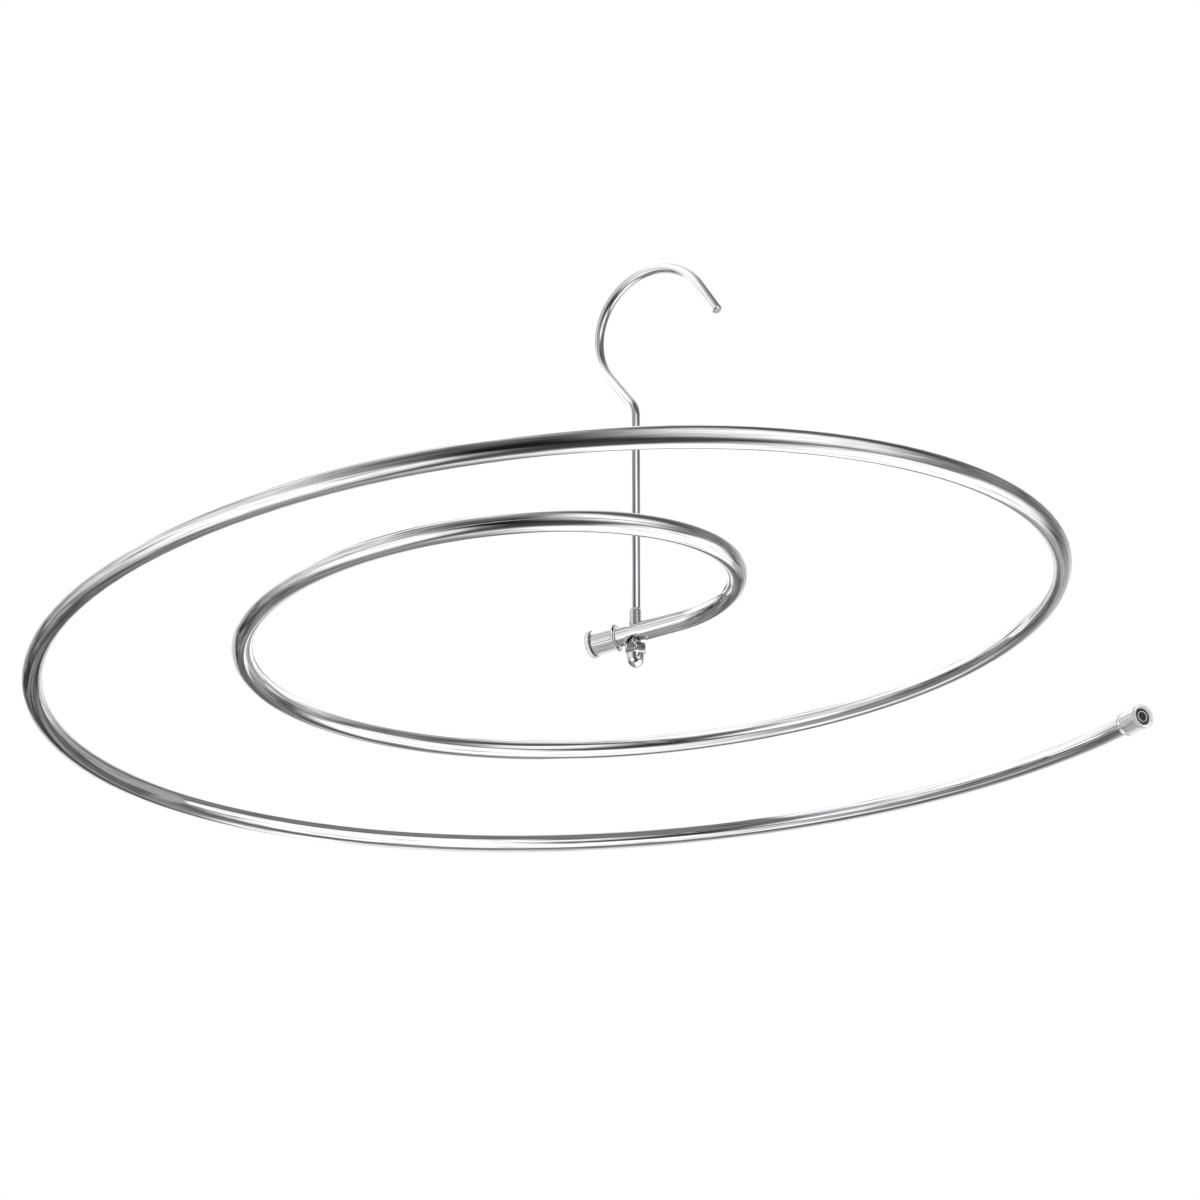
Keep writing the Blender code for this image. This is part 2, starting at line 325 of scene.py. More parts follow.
# %% Sizes of the spiral
TUBE_RADIUS = 5.0 * MM
TUBE_WALL = 0.6 * MM
TUBE_SIDES = 48
WIND_STEP_DEG = 3.0
STRAIGHT_STEPS = 4
PUNCHED_STEPS = 28
LEG_HEADING_DEG = -30.0
LEG_AHEAD = 25.0 * MM
TAIL_LENGTH = 16.0 * MM
TURN_TOTAL_DEG = 750.0
LEAN_DEG = 5.5
WIDEST_BEND_RADIUS = 319.0 * MM
# turned angle in degrees, share of the widest bend radius
BEND_SCHEDULE = (
    (0, 0.107), (45, 0.229), (90, 0.285), (150, 0.367), (210, 0.473), (270, 0.614),
    (330, 0.614), (420, 0.661), (510, 0.765), (600, 1.0), (680, 0.978), (760, 0.862),
)
CAP_LENGTH = 15.7 * MM
CAP_INNER_REACH = 25.3 * MM
CAP_RECESS_DEPTH = 1.2 * MM
CAP_END_WALL = 1.4 * MM
CAP_FIT = 0.3 * MM
ROD_HOLE_RADIUS = 4.0 * MM
ROD_HOLE_SIDES = 64
PUNCHED_LENGTH = 7.0 * MM
PUNCH_DIMPLE = 0.35 * MM
PUNCH_REACH = 1.8 * MM
LEG_BEHIND = CAP_INNER_REACH - CAP_RECESS_DEPTH - CAP_END_WALL - CAP_FIT

LEG = Vector((cos(radians(LEG_HEADING_DEG)), sin(radians(LEG_HEADING_DEG)), 0))
# The lean is a shear, which can't be told from a turn at so small an angle
LEAN = Matrix.Identity(4)
LEAN[2][0] = LEG.x * tan(radians(LEAN_DEG))
LEAN[2][1] = LEG.y * tan(radians(LEAN_DEG))
COIL_PLACE = Matrix.Translation(CROSSING) @ LEAN
print("the leg reaches", round(LEG_BEHIND / MM, 1), "mm behind the rod and",
      round(LEG_AHEAD / MM, 1), "mm ahead of it")


# %% Wind the spiral
def bend_radius(turned):
    """The bend's radius once the tube has turned by that many degrees."""
    for (low, s_low), (high, s_high) in zip(BEND_SCHEDULE, BEND_SCHEDULE[1:]):
        if turned <= high:
            share = s_low + (s_high - s_low) * (turned - low) / (high - low)
            return WIDEST_BEND_RADIUS * share


bar = Bar(new_bar_mesh(), TUBE_RADIUS, TUBE_SIDES, -LEG_BEHIND * LEG, LEG, UP)
bar.run(LEG_BEHIND - PUNCHED_LENGTH, steps=STRAIGHT_STEPS)
bar.run(2 * PUNCHED_LENGTH, steps=PUNCHED_STEPS)
bar.run(LEG_AHEAD - PUNCHED_LENGTH, steps=STRAIGHT_STEPS)
for k in range(round(TURN_TOTAL_DEG / WIND_STEP_DEG)):
    bar.turn(bend_radius((k + 0.5) * WIND_STEP_DEG), -WIND_STEP_DEG, UP)
bar.run(TAIL_LENGTH, steps=STRAIGHT_STEPS)
outer_place, outer_heading = bar.place, bar.heading
print("tube length", round(bar.length, 3), "m, turned by", TURN_TOTAL_DEG, "degrees")

# %% [markdown]
# The skin now gets its wall. Its faces are turned outwards first, because afterwards the wall's
# inner side would be turned too. Then the rod's cross hole goes through both walls, and the whole
# spiral is leaned. The hole is punched, and the punch draws its rim in a little, which catches the
# light. So the points near the hole sink towards the tube's axis, most at the rim itself.
#
# The drill leaves new points with no place on the straight bar. They all lie on the straight leg,
# so their places there follow from where they are.

# %% Give it a wall and drill it
bmesh.ops.recalc_face_normals(bar.bm, faces=bar.bm.faces)
bmesh.ops.solidify(bar.bm, geom=bar.bm.faces, thickness=TUBE_WALL)
print("wall volume", round(bar.bm.calc_volume() * 1e6, 2), "cm3")
spiral = piece("spiral_tube_bent", bar.bm, tube_steel, turn_out=False)

bm = bmesh.new()
bmesh.ops.create_cone(bm, cap_ends=True, segments=ROD_HOLE_SIDES, radius1=ROD_HOLE_RADIUS,
                      radius2=ROD_HOLE_RADIUS, depth=4 * TUBE_RADIUS)
shaped(spiral, piece("rod_hole_drill", bm, tube_steel))

straight_bar = spiral.data.attributes["straight_bar"].data
bar_axes = Matrix((UP, LEG.cross(UP), LEG))
for vertex, mark in zip(spiral.data.vertices, straight_bar):
    if mark.vector.length == 0:
        mark.vector = bar_axes @ (vertex.co + LEG_BEHIND * LEG)
for vertex in spiral.data.vertices:
    beyond = vertex.co.xy.length - ROD_HOLE_RADIUS
    if beyond < PUNCH_REACH:
        sink = PUNCH_DIMPLE * cos(pi / 2 * max(0.0, beyond) / PUNCH_REACH) ** 2
        vertex.co.z -= sink if vertex.co.z > 0 else -sink
spiral.data.transform(COIL_PLACE)
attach(spiral, "spiral")
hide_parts("spiral_tube")
report(spiral)

# %% [markdown]
# ## The hook and its rod
# The hook is one wire, bent cold in one plane: straight rod, a short bend out, a straight neck,
# the round crown and a straight tip. The tip is cut square and its rim is just broken, so the
# end face catches the light.

# %% Bend the hook
WIRE_RADIUS = 2.6 * MM
CROWN_RADIUS = 33.1 * MM
CROWN_SWEEP_DEG = 184.5
TIP_LENGTH = 19.8 * MM
NECK_LENGTH = 19.4 * MM
NECK_TILT_DEG = 38.5
NECK_BEND_RADIUS = 12.0 * MM
ROD_RISE = 113.4 * MM
HOOK_TURN_DEG = -34.5
WIRE_SIDES = 32
WIRE_END_CHAMFER = 0.5 * MM
THREAD_TOP = 12.0 * MM
HANGER_PLACE = Matrix.Translation(CROSSING) @ Matrix.Rotation(radians(HOOK_TURN_DEG), 4, "Z")
TOWARD_CROWN = Vector((0, -1, 0))

bm = new_bar_mesh()
wire = Bar(bm, WIRE_RADIUS, WIRE_SIDES, (0, 0, THREAD_TOP), UP, (1, 0, 0))
wire.run(ROD_RISE - THREAD_TOP, steps=24)
wire.turn(NECK_BEND_RADIUS, NECK_TILT_DEG, TOWARD_CROWN, steps=14)
wire.run(NECK_LENGTH, steps=STRAIGHT_STEPS)
wire.turn(CROWN_RADIUS, -CROWN_SWEEP_DEG, TOWARD_CROWN, steps=72)
wire.run(TIP_LENGTH - WIRE_END_CHAMFER, steps=STRAIGHT_STEPS)
wire.close(wire.ring, WIRE_END_CHAMFER)
wire.close(wire.first, WIRE_END_CHAMFER)
hook = piece("hook_wire", bm, wire_steel, HANGER_PLACE)
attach(hook, "hanger")
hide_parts("hook_rod")
print("wire length above the thread", round(wire.length, 3), "m")
report(hook)

# %% [markdown]
# ## The rolled thread
# The rod's lower end carries an M6 thread: 1 mm pitch, 60 degree flanks. Rolling squeezes metal
# out of the wire, so the crests stand a little proud of the plain wire. One pitch of the
# profile is spun up the rod as a helix, where each turn's top edge meets the next turn's bottom
# edge, so the turns are merged to one skin. The last turn and a half fade into the wire and end
# just below its surface.
#
# How far down the rod reaches follows from the nut, and the nut's place from the tube that rests
# on it: the leaning tube all but touches the rim of the nut's face.

# %% Roll the thread
PITCH = 1.0 * MM
FLANK_DEG = 30.0
CREST_RADIUS = 2.95 * MM
ROOT_RADIUS = 2.42 * MM
THREAD_SIDES = 32
FADE_TURNS = 1.5
FADE_DEPTH = 0.05 * MM
NUT_BEARING_RADIUS = 4.5 * MM
SEAT_GAP = 0.3 * MM
NUT_BORE_DEPTH = 8.0 * MM

lean = radians(LEAN_DEG)
NUT_TOP = -(TUBE_RADIUS / cos(lean) + NUT_BEARING_RADIUS * tan(lean) + SEAT_GAP)
ROD_BOTTOM = NUT_TOP - NUT_BORE_DEPTH + SEAT_GAP


def thread_bar():
    bm = new_bar_mesh()
    straight = bm.verts.layers.float_vector.get("straight_bar")
    rise = (CREST_RADIUS - ROOT_RADIUS) * tan(radians(FLANK_DEG))
    flat = PITCH / 2 - rise
    outline = [(ROOT_RADIUS, 0.0), (ROOT_RADIUS, flat), (CREST_RADIUS, flat + rise),
               (CREST_RADIUS, 2 * flat + rise), (ROOT_RADIUS, PITCH)]
    verts = [bm.verts.new((r, 0, z)) for r, z in outline]
    edges = [bm.edges.new(pair) for pair in zip(verts, verts[1:])]
    top = THREAD_TOP + PITCH / 2
    turns = round((THREAD_TOP - ROD_BOTTOM) / PITCH) + 2
    bmesh.ops.spin(bm, geom=verts + edges, cent=(0, 0, 0), axis=UP, angle=2 * pi * turns,
                   dvec=(0, 0, PITCH / THREAD_SIDES), steps=turns * THREAD_SIDES, use_merge=False)
    bmesh.ops.remove_doubles(bm, verts=bm.verts, dist=PITCH / 1000)
    bmesh.ops.translate(bm, vec=(0, 0, ROD_BOTTOM - PITCH), verts=bm.verts)
    for height, above in ((ROD_BOTTOM, False), (top, True)):
        bmesh.ops.bisect_plane(bm, geom=bm.verts[:] + bm.edges[:] + bm.faces[:], dist=WELD,
                               plane_co=(0, 0, height), plane_no=UP, clear_outer=above,
                               clear_inner=not above)
    for v in bm.verts:
        fade = min(1.0, max(0.0, (top - v.co.z) / (FADE_TURNS * PITCH)))
        across = Vector((v.co.x, v.co.y))
        wanted = WIRE_RADIUS - FADE_DEPTH + (across.length - WIRE_RADIUS + FADE_DEPTH) * fade
        across *= wanted / across.length
        v.co.x, v.co.y = across
        v[straight] = v.co
    open_edges = [e for e in bm.edges if e.is_boundary]
    bmesh.ops.holes_fill(bm, edges=open_edges, sides=0)
    return bm


thread = piece("rod_thread", thread_bar(), wire_steel, HANGER_PLACE)
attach(thread, "hanger")
report(thread)

# %% [markdown]
# ## The domed nut
# A domed nut is turned from hexagon bar: a cutter bevels both ends of the hexagon, which leaves
# curved edges on the flats, and the dome is turned and polished. The quickest honest way is the
# same one: spin the turned outline, then keep only what lies inside the hexagon. The hexagon's
# corners are rounded first, as tumbling leaves them.
#
# What the cutter touched is bright. The six flats still have the dull grey skin of drawn bar, so
# they are a second material.

# %% Turn the nut
NUT_ACROSS_FLATS = 10.0 * MM
NUT_HEX_HEIGHT = 5.0 * MM
NUT_HEIGHT = 12.0 * MM
NUT_CHAMFER_DEG = 25.0
NUT_DOME_RADIUS = 4.2 * MM
NUT_DOME_SKIRT = 2.2 * MM
NUT_CORNER_ROUND = 0.7 * MM
NUT_BORE_RADIUS = CREST_RADIUS + SEAT_GAP
NUT_DRILL_START = 2.0 * MM
NUT_DRILL_POINT = 1.7 * MM
# The turned blank is this much wider than the hexagon's corners
NUT_BLANK_EXTRA = 0.5 * MM


def spun(outline, steps=64):
    """A turned solid: the outline of (radius, height), from axis to axis, spun about Z."""
    bm = bmesh.new()
    verts = [bm.verts.new((r, 0, z)) for r, z in outline]
    edges = [bm.edges.new(pair) for pair in zip(verts, verts[1:])]
    bmesh.ops.spin(bm, geom=verts + edges, cent=(0, 0, 0), axis=UP, angle=2 * pi, steps=steps,
                   use_merge=True)
    bmesh.ops.remove_doubles(bm, verts=bm.verts, dist=WELD)
    return bm


def dome_points(radius, top, height, count=14):
    """The dome's outline as points on an ellipse, from just below its rim to its lowest point."""
    angles = [pi / 2 * k / count for k in range(1, count)]
    return [(radius * cos(a), top - height * sin(a)) for a in angles] + [(0.0, top - height)]


nut_steel = buffed_steel("stainless_304_turned_nut", "d5d4d7", roughness=0.04,
                         line_mm=0.2, ripple=0.1, line_bump=0.1)
flat_steel = buffed_steel("stainless_304_drawn_hexagon_skin", "7b7a7c", roughness=0.28,
                          line_mm=0.3, ripple=0.1, line_bump=0.1)

corner = NUT_ACROSS_FLATS / 2 / cos(pi / 6)
blank_radius = corner + NUT_BLANK_EXTRA
drop = (blank_radius - NUT_BEARING_RADIUS) * tan(radians(NUT_CHAMFER_DEG))
skirt = -NUT_HEX_HEIGHT - NUT_DOME_SKIRT
outline = [(0.0, 0.0), (NUT_BEARING_RADIUS, 0.0), (blank_radius, -drop),
           (blank_radius, -NUT_HEX_HEIGHT + drop), (NUT_DOME_RADIUS, -NUT_HEX_HEIGHT),
           (NUT_DOME_RADIUS, skirt)]
outline += dome_points(NUT_DOME_RADIUS, skirt, NUT_HEIGHT - NUT_HEX_HEIGHT - NUT_DOME_SKIRT)
nut = piece("domed_nut", spun(outline, steps=96), nut_steel)

bm = bmesh.new()
bmesh.ops.create_cone(bm, cap_ends=True, segments=6, radius1=corner, radius2=corner,
                      depth=4 * NUT_HEIGHT)
upright = [e for e in bm.edges if abs(e.verts[0].co.z - e.verts[1].co.z) > NUT_HEIGHT]
bmesh.ops.bevel(bm, geom=upright, offset=NUT_CORNER_ROUND, offset_type="OFFSET", segments=4,
                profile=0.5, affect="EDGES", material=-1)
hexagon = piece("nut_hexagon_bar", bm, nut_steel)
bore_outline = [(0.0, NUT_DRILL_START), (NUT_BORE_RADIUS, NUT_DRILL_START),
                (NUT_BORE_RADIUS, -NUT_BORE_DEPTH), (0.0, -NUT_BORE_DEPTH - NUT_DRILL_POINT)]
nut_drill = piece("nut_drill", spun(bore_outline, steps=48), nut_steel)
shaped(nut, hexagon, operation="INTERSECT")
shaped(nut, nut_drill)
nut.data.materials.append(flat_steel)
for face in nut.data.polygons:
    on_flat = abs(face.center.dot(face.normal) - NUT_ACROSS_FLATS / 2) < CLOSE
    is_upright = abs(face.normal.z) < 0.01
    face.material_index = 1 if on_flat and is_upright else 0
print("dull flats:", sum(face.material_index for face in nut.data.polygons))
nut.data.transform(Matrix.Translation(CROSSING + Vector((0, 0, NUT_TOP))))
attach(nut, "hanger")
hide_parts("acorn_nut")
report(nut)

# %% [markdown]
# ## The end caps
# Each cap is injection moulded in low density polyethylene. Its mouth has a raised lip, its closed
# end a flange. The end face is dished. Its thin floor is opaque and painted near black: painted
# shade for the dark bore behind it, but for a small raised ring where the plastic is thick again.
#
# The plastic itself is one and the same, but its look depends on how thick it is. The thin sleeve
# is clear, so the tube shows through it as a soft grey shadow. Light that goes through the thick
# flange is scattered on the way, so the flange is half transmission and half milky diffuse. The
# floor and its ring get a recipe each. The floor's near black is painted shade, where the dark bore
# would show through. The ring is thick and milky, and its pale grey is partly a painted highlight.
#
# Polyethylene's index of refraction is 1.51, but at that value the sleeve gets the dark edges of a
# glass rod. The lower value below gives the pale edges that thin, slightly cloudy plastic has.


# %% Moulded polyethylene
PLASTIC_IOR = 1.38
# The melt flows in streaks a few millimetres long, which show as faint clouds
CLOUD_SIZE = 3.0 * MM
CLOUD_DEPTH = 0.05 * MM
CLOUD_BUMP = 0.03
CLOUD_ROUGHNESS_SPREAD = 0.3


def moulded_polyethylene(name, thin_hex, thick_hex, transmission, roughness):
    mat, tree = new_material(name)
    shader = tree.nodes["Principled BSDF"]
    shader.inputs["Metallic"].default_value = 0.0
    shader.inputs["IOR"].default_value = PLASTIC_IOR
    shader.inputs["Transmission Weight"].default_value = transmission
    place = add(tree, "TexCoord")
    cloud = add(tree, "TexNoise", Vector=place.outputs["Object"], Scale=1.0 / CLOUD_SIZE,
                Detail=3.0)
    milk = add(tree, "Mix", {"data_type": "RGBA"}, _0=cloud.outputs["Fac"],
               _6=linear(thin_hex), _7=linear(thick_hex))
    rough = add(tree, "MapRange", Value=cloud.outputs["Fac"], From_Min=NOISE_LOW,
                From_Max=NOISE_HIGH, To_Min=roughness * (1.0 - CLOUD_ROUGHNESS_SPREAD),
                To_Max=roughness * (1.0 + CLOUD_ROUGHNESS_SPREAD))
    bump = add(tree, "Bump", Strength=CLOUD_BUMP, Distance=CLOUD_DEPTH,
               Height=cloud.outputs["Fac"])
    tree.links.new(milk.outputs[2], shader.inputs["Base Color"])
    tree.links.new(rough.outputs["Result"], shader.inputs["Roughness"])
    tree.links.new(bump.outputs["Normal"], shader.inputs["Normal"])
    return mat


cap_plastic = moulded_polyethylene("polyethylene_clear_moulded", "ffffff", "f8f9f9",
                                   transmission=1.0, roughness=0.01)
cap_flange = moulded_polyethylene("polyethylene_thick_flange", "f4f5f5", "e6e8e8",
                                  transmission=0.5, roughness=0.08)
# The thick ring is milky, and its pale grey is partly a painted highlight on it
ring_milk_painted_highlight = moulded_polyethylene("polyethylene_thick_ring_painted_highlight", "d2d3d3", "bfc1c1",
                                transmission=0.2, roughness=0.2)
# The floor's recipe is painted shade: opaque and near black, standing in for the dark bore behind it
floor_painted_bore_shade = moulded_polyethylene("polyethylene_floor_painted_bore_shade", "1b1c1d", "3a3c3d",
                                 transmission=0.0, roughness=0.3)
print("the caps' plastic in four thicknesses, with index", PLASTIC_IOR)

# %% Mould the caps
CAP_WALL = 1.0 * MM
CAP_FLANGE_RADIUS = 6.9 * MM
CAP_FLANGE_THICKNESS = 1.9 * MM
CAP_LIP_HEIGHT = 0.4 * MM
CAP_LIP_LENGTH = 1.3 * MM
CAP_RECESS_RADIUS = 4.9 * MM
CAP_THIN_RADIUS = 4.7 * MM
CAP_RING_RADIUS = 3.2 * MM
CAP_RING_WIDTH = 0.5 * MM
CAP_RING_HEIGHT = 0.6 * MM
CAP_RING_DRAFT = 0.1 * MM
CAP_EDGE = 0.3 * MM
CAP_DISH = 0.4 * MM
# The places of a cap's four recipes in its list of materials. The floor's recipe is painted shade,
# and the ring's pale grey is partly a painted highlight
SLEEVE, FLOOR_PAINTED_SHADE, RING, FLANGE = range(4)


def cap_mesh():
    """A cap that stands on its mouth, its closed end up."""
    sleeve_in = TUBE_RADIUS + CAP_FIT
    sleeve_out = sleeve_in + CAP_WALL
    lip = sleeve_out + CAP_LIP_HEIGHT
    floor = CAP_LENGTH - CAP_RECESS_DEPTH
    under = floor - CAP_END_WALL
    flange_low = CAP_LENGTH - CAP_FLANGE_THICKNESS
    ring_in = CAP_RING_RADIUS - CAP_RING_WIDTH
    ring_top = floor + CAP_RING_HEIGHT
    bm = spun([
        # the end face's floor with its ring, then the recess up to the end face
        (0.0, floor), (ring_in, floor), (ring_in + CAP_RING_DRAFT, ring_top),
        (CAP_RING_RADIUS - CAP_RING_DRAFT, ring_top), (CAP_RING_RADIUS, floor),
        (CAP_THIN_RADIUS, floor), (CAP_RECESS_RADIUS, floor),
        (CAP_RECESS_RADIUS + CAP_DISH, CAP_LENGTH),
        # the flange
        (CAP_FLANGE_RADIUS - CAP_EDGE, CAP_LENGTH), (CAP_FLANGE_RADIUS, CAP_LENGTH - CAP_EDGE),
        (CAP_FLANGE_RADIUS, flange_low + CAP_EDGE), (CAP_FLANGE_RADIUS - CAP_EDGE, flange_low),
        # the sleeve with its lip, then back up inside
        (sleeve_out, flange_low), (sleeve_out, CAP_LIP_LENGTH + CAP_LIP_HEIGHT),
        (lip, CAP_LIP_LENGTH), (lip, CAP_EDGE), (lip - CAP_EDGE, 0.0), (sleeve_in, 0.0),
        (sleeve_in, under), (0.0, under),
    ])
    for face in bm.faces:
        middle = face.calc_center_median()
        off_axis = middle.xy.length
        # The floor's faces take the painted shade, the ring's the milky grey with its painted
        # highlight
        if abs(middle.z - floor) < CLOSE and off_axis < CAP_THIN_RADIUS:
            face.material_index = FLOOR_PAINTED_SHADE
        elif middle.z > floor and off_axis < CAP_RING_RADIUS:
            face.material_index = RING
        elif middle.z > flange_low - CAP_EDGE and off_axis > CAP_RECESS_RADIUS:
            face.material_index = FLANGE
        elif abs(middle.z - under) < CLOSE:
            face.material_index = FLANGE
        else:
            face.material_index = SLEEVE
    return bm


def lay_cap(name, node, end, outward):
    """A cap over the tube's end, pushed on until its end wall almost meets the tube."""
    under = CAP_LENGTH - CAP_RECESS_DEPTH - CAP_END_WALL
    mouth = end - outward * (under - CAP_FIT)
    turn = outward.to_track_quat("Z", "Y").to_matrix().to_4x4()
    cap = piece(name, cap_mesh(), cap_plastic, Matrix.Translation(mouth) @ turn)
    for material in (floor_painted_bore_shade, ring_milk_painted_highlight, cap_flange):
        cap.data.materials.append(material)
    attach(cap, "spiral")
    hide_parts(node)
    report(cap)


def leaned(direction):
    return (LEAN.to_3x3() @ direction).normalized()


inner_end = COIL_PLACE @ (-LEG_BEHIND * LEG)
outer_end = COIL_PLACE @ outer_place
lay_cap("inner_cap_moulded", "inner_end_cap", inner_end, leaned(-LEG))
lay_cap("outer_cap_moulded", "outer_end_cap", outer_end, leaned(outer_heading))

# %% [markdown]
# ## The camera
# The rack is photographed from below and from some way off: the camera looks up by 17.5 degrees
# with a long lens, so near and far turns of the tube are almost equally thick. The place of the
# rod's crossing in the frame and its distance fix the rest.

# %% Camera
FILM_WIDTH_MM = 36.0
FRAME_PX = 1200
FOCAL_PX = 3400
CROSSING_PX = (635.5, 632.8)
LOOK_UP_DEG = 17.5
DISTANCE = 1.667

camera = bpy.data.objects.new("camera", bpy.data.cameras.new("camera"))
bpy.context.scene.collection.objects.link(camera)
camera.data.sensor_width = FILM_WIDTH_MM
camera.data.lens = FILM_WIDTH_MM * FOCAL_PX / FRAME_PX
camera.data.clip_start = 0.01
camera.data.clip_end = 50.0
look_up = radians(LOOK_UP_DEG)
right = Vector((1, 0, 0))
down = Vector((0, sin(look_up), -cos(look_up)))
forward = Vector((0, cos(look_up), sin(look_up)))
off_right, off_down = [(px - FRAME_PX / 2) / FOCAL_PX for px in CROSSING_PX]
camera.location = CROSSING - DISTANCE * (right * off_right + down * off_down + forward)
camera.rotation_euler = (pi / 2 + look_up, 0, 0)
bpy.context.scene.camera = camera
print("camera at", [round(v, 3) for v in camera.location])

# %% [markdown]
# ## The studio
# Polished steel has no look of its own: it shows the room. Product photographers stand such
# pieces in a small white tent with dark gaps, so that soft dark bands run along the metal and
# draw its roundness. The tent is close, so each turn of the tube sees it from another place. So
# it is a real surface here: an egg-shaped shell, about half a metre from the rack's middle. Its
# cloth is lit from behind by panels and left dark at its gaps, each a soft round patch. Only
# reflections and light through the plastic see it. Its folds are drawn by noise, which the tube
# stretches to fine streaks.
#
# Directions are given as azimuth, 0 behind the rack and 90 to its right, and elevation. The
# patches are painted one over the other, in the order of the list.

# %% The tent
TENT_MIDDLE = CROSSING + Vector((0.05, -0.05, -0.023))
TENT_RADII = (0.543, 0.48, 0.38)
# A fold is about a tenth of a metre wide, so this many lie side by side in the tent's radius
FOLDS = 4.5
# The unlit cloth's brightness, and how far folds change the unlit cloth and the whole tent
TENT_WALL = 0.21
WALL_FOLD = 0.7
TENT_FOLD = 0.2
# The creases' share of the noise's range: narrow, so that they are crisp
CREASE_LOW, CREASE_HIGH = 0.42, 0.58
# The unlit cloth hangs in deep folds, but is stretched smooth low on the right
SMOOTH_SIDE = (1, 0, -1)
SMOOTH_FROM, SMOOTH_TO = 0.1, 0.7
SMOOTH_SHARE = 0.1
# Rays seen through the caps find the tent glowing brighter, this share of the way to white:
# painted light that stands in for the cloudy plastic's haze
HAZE_PAINTED_LIGHT = 0.5
TENT_PATCHES = (
    # azimuth, elevation, full to this angle, soft over this angle, brightness
    (173, 8, 47, 4, 0.02),
    (-45, 72, 56, 4, 0),
    (-18, -11, 10, 4, 1.54),
    (77, -69, 39, 18, 1.7),
    (-140, -35, 10, 19, 1.7),
    (23, 43, 20, 4, 1.7),
    (-21, -48, 8, 4, 0.33),
    (147, 9, 0, 47, 1.7),
    (-112, -7, 6, 42, 1.23),
    (-52, 53, 31, 21, 1.7),
    (-177, -41, 6, 27, 0.01),
    (-3, 9, 16, 15, 1.17),
    (-119, 40, 9, 38, 1.61),
    (21, 20, 0, 38, 1.7),
    (-49, -52, 14, 16, 0.32),
    (156, 35, 0, 39, 1.7),
    (-90, 55, 4, 4, 0.5),
    (9, 53, 9, 4, 1.07),
    (-142, -48, 0, 28, 0.05),
    (100, 75, 0, 30, 0.08),
    (85, 5, 5, 30, 0.33),
    (27, 4, 0, 32, 0.75),
    (49, 51, 3, 45, 0.31),
    (-103, 33, 6, 10, 0.95),
    (-41, 4, 11, 6, 0.94),
    (-71, 59, 0, 21, 0.61),
    (-82, -66, 0, 30, 0.53),
    (-147, 31, 0, 38, 0.12),
    (173, -41, 0, 40, 0.1),
    (-128, 49, 9, 4, 0.47),
    (-24, 19, 3, 4, 0.21),
    (-28, -33, 5, 5, 0.44),
    (77, -25, 2, 28, 1.7),
    (-10, -23, 5, 4, 0.38),
    (139, 65, 0, 20, 0.2),
    (-124, -24, 13, 18, 1.7),
    (30, -22, 7, 4, 0.61),
)

cloth, tree = glowing_material("tent_cloth_lit_from_behind")
place = add(tree, "TexCoord")
from_middle = add(tree, "VectorMath", {"operation": "SUBTRACT"}, _0=place.outputs["Object"],
                  _1=TENT_MIDDLE)
as_ball = add(tree, "VectorMath", {"operation": "DIVIDE"}, _0=from_middle.outputs["Vector"],
              _1=TENT_RADII)
direction = add(tree, "VectorMath", {"operation": "NORMALIZE"},
                _0=as_ball.outputs["Vector"]).outputs["Vector"]
folds = add(tree, "TexNoise", Vector=direction, Scale=FOLDS, Detail=4.0,
            Distortion=0.6).outputs["Fac"]

# The unlit cloth and its creases
toward_smooth = add(tree, "VectorMath", {"operation": "DOT_PRODUCT"}, _0=direction,
                    _1=SMOOTH_SIDE).outputs["Value"]
slack = add(tree, "MapRange", Value=toward_smooth, From_Min=SMOOTH_FROM, From_Max=SMOOTH_TO,
            To_Min=WALL_FOLD, To_Max=WALL_FOLD * SMOOTH_SHARE).outputs["Result"]
crease = add(tree, "MapRange", Value=folds, From_Min=CREASE_LOW, From_Max=CREASE_HIGH,
             To_Min=-TENT_WALL, To_Max=TENT_WALL).outputs["Result"]
glow = add(tree, "Math", {"operation": "MULTIPLY_ADD"}, _0=crease, _1=slack,
           _2=TENT_WALL).outputs["Value"]

# The patches, each mixed in by the angle between its own direction and the point's
for azimuth, elevation, full, soft, brightness in TENT_PATCHES:
    a, e = radians(azimuth), radians(elevation)
    centre = (sin(a) * cos(e), cos(a) * cos(e), sin(e))
    dot = add(tree, "VectorMath", {"operation": "DOT_PRODUCT"}, _0=direction, _1=centre)
    angle = add(tree, "Math", {"operation": "ARCCOSINE"}, _0=dot.outputs["Value"])
    patch = add(tree, "MapRange", {"interpolation_type": "SMOOTHSTEP"},
                Value=angle.outputs["Value"], From_Min=radians(full + soft),
                From_Max=radians(full), To_Min=0.0, To_Max=1.0)
    glow = add(tree, "Mix", {"data_type": "FLOAT"}, _0=patch.outputs["Result"], _2=glow,
               _3=brightness).outputs[0]

# The folds of the whole tent, then the painted light that stands in for the plastic's haze
depth = add(tree, "MapRange", Value=folds, From_Min=NOISE_LOW, From_Max=NOISE_HIGH,
            To_Min=1.0 - TENT_FOLD, To_Max=1.0 + TENT_FOLD)
folded = add(tree, "Math", {"operation": "MULTIPLY"}, _0=glow, _1=depth.outputs["Result"])
path = add(tree, "LightPath")
through = add(tree, "Math", {"operation": "MULTIPLY"}, _0=path.outputs["Is Transmission Ray"],
              _1=HAZE_PAINTED_LIGHT)
washed = add(tree, "Mix", {"data_type": "FLOAT"}, _0=through.outputs["Value"],
             _2=folded.outputs["Value"], _3=1.0)
light = add(tree, "Emission", Color=(1, 1, 1, 1), Strength=washed.outputs[0])
tree.links.new(light.outputs["Emission"], add(tree, "OutputMaterial").inputs["Surface"])

